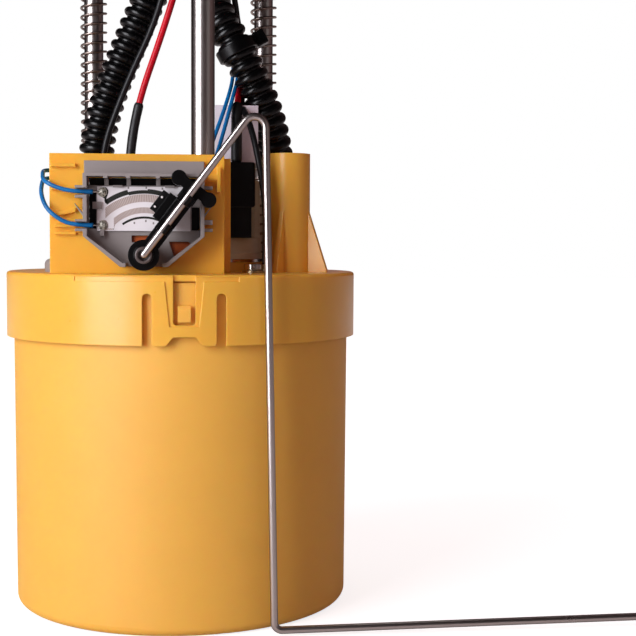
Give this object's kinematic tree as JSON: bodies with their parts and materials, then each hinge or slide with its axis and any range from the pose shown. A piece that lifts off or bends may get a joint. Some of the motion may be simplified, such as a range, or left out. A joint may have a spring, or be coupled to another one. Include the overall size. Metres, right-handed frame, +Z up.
{
  "type": "in-tank fuel pump module",
  "caption": "In-tank fuel pump module: swirl-pot cup and lid with a submerged pump, level sender with float arm, and a sprung tank flange on guide rods.",
  "frame": {"origin": "centre of the cup's flat bottom, on the tank floor", "axes": "+Z up along the cup's axis towards the flange, the level sender faces -Y and its float lies towards +X"},
  "size_m": [0.2715, 0.144, 0.28],
  "materials": {
    "orange_plastic": "smooth moulded acetal",
    "grey_plastic": "moulded grey acetal",
    "black_plastic": "moulded black plastic",
    "cream_plastic": "moulded cream plastic",
    "ceramic": "ceramic card",
    "printed_track": "printed resistor ink",
    "contact_metal": "bright spring metal",
    "steel": "bright steel",
    "spring_steel": "spring wire",
    "can_steel": "plated steel can",
    "rotor_metal": "laminated armature",
    "rubber": "fuel-proof rubber",
    "foam": "closed-cell foam rubber",
    "mesh_fabric": "fine filter mesh",
    "hose_black": "corrugated hose",
    "blue_wire": "blue insulation",
    "red_wire": "red insulation",
    "black_wire": "black insulation",
    "heat_shrink": "heat-shrink sleeve",
    "white_tag": "blank white tag",
    "brass": "tinned terminals"
  },
  "bodies": {
    "reservoir": {"reservoir_cup": "orange_plastic", "foot_valve": "rubber", "reservoir_lid": "orange_plastic", "lid_plug": "grey_plastic", "lid_screw": "steel", "lead_grommet": "rubber", "outlet_elbow": "black_plastic", "return_elbow": "black_plastic", "return_pipe": "black_plastic", "jet_pump": "black_plastic", "pressure_regulator": "can_steel", "regulator_clip": "steel", "pump_case": "can_steel", "pump_inlet_cap": "black_plastic", "pump_outlet_cap": "black_plastic", "pump_terminals": "brass", "motor_magnets": "rotor_metal", "pump_isolator": "rubber", "inlet_strainer": "mesh_fabric", "holder_ring": "steel", "pump_holder": "cream_plastic", "pump_connector": "black_plastic", "sender_bracket": "orange_plastic", "sender_frame": "grey_plastic", "resistor_card": "ceramic", "card_tracks": "printed_track", "card_rivets": "contact_metal", "spring_left": "spring_steel", "spring_right": "spring_steel", "hose_left": "hose_black", "hose_right": "hose_black", "black_lead": "black_wire", "red_lead": "red_wire", "red_lead_sleeve": "heat_shrink", "pump_lead": "red_wire", "pump_lead_sleeve": "heat_shrink", "ground_lead": "black_wire", "blue_lead_front": "blue_wire", "blue_lead_rear": "blue_wire", "sender_leads": "blue_wire", "cable_tie": "black_plastic", "lead_tag": "white_tag", "ground_terminal": "brass"},
    "flange": {"flange_plate": "black_plastic", "flange_seal": "rubber", "flange_pins": "brass", "guide_rod_left": "steel", "guide_rod_right": "steel", "guide_rod_centre": "steel", "rod_clips": "steel"},
    "float_arm": {"wiper": "black_plastic", "contact_plate": "contact_metal", "float_wire": "steel", "float_clip": "steel"},
    "float": {"float": "foam"},
    "motor_rotor": {"motor_shaft": "steel", "armature": "rotor_metal", "impeller": "black_plastic"}
  },
  "joints": [
    {"name": "flange_slide", "type": "slide", "parent": "reservoir", "child": "flange", "axis": [0, 0, 1], "range_m": [-0.05, 0], "stiffness_N_per_m": 400, "springref_m": 0.08, "deforming": ["spring_left", "spring_right", "hose_left", "hose_right", "black_lead", "red_lead", "red_lead_sleeve", "pump_lead", "pump_lead_sleeve", "ground_lead", "blue_lead_front", "blue_lead_rear", "cable_tie"]},
    {"name": "float_arm_pivot", "type": "hinge", "parent": "reservoir", "child": "float_arm", "pos_m": [-0.0125, -0.053, 0.1256], "axis": [0, -1, 0], "range_deg": [0, 57]},
    {"name": "float_swivel", "type": "hinge", "parent": "float_arm", "child": "float", "pos_m": [0.182, -0.045, 0.0076], "axis": [0, 1, 0], "continuous": true},
    {"name": "motor_spin", "type": "hinge", "parent": "reservoir", "child": "motor_rotor", "pos_m": [0.0052, 0.004, 0.06], "axis": [0, 0, 1], "continuous": true}
  ]
}
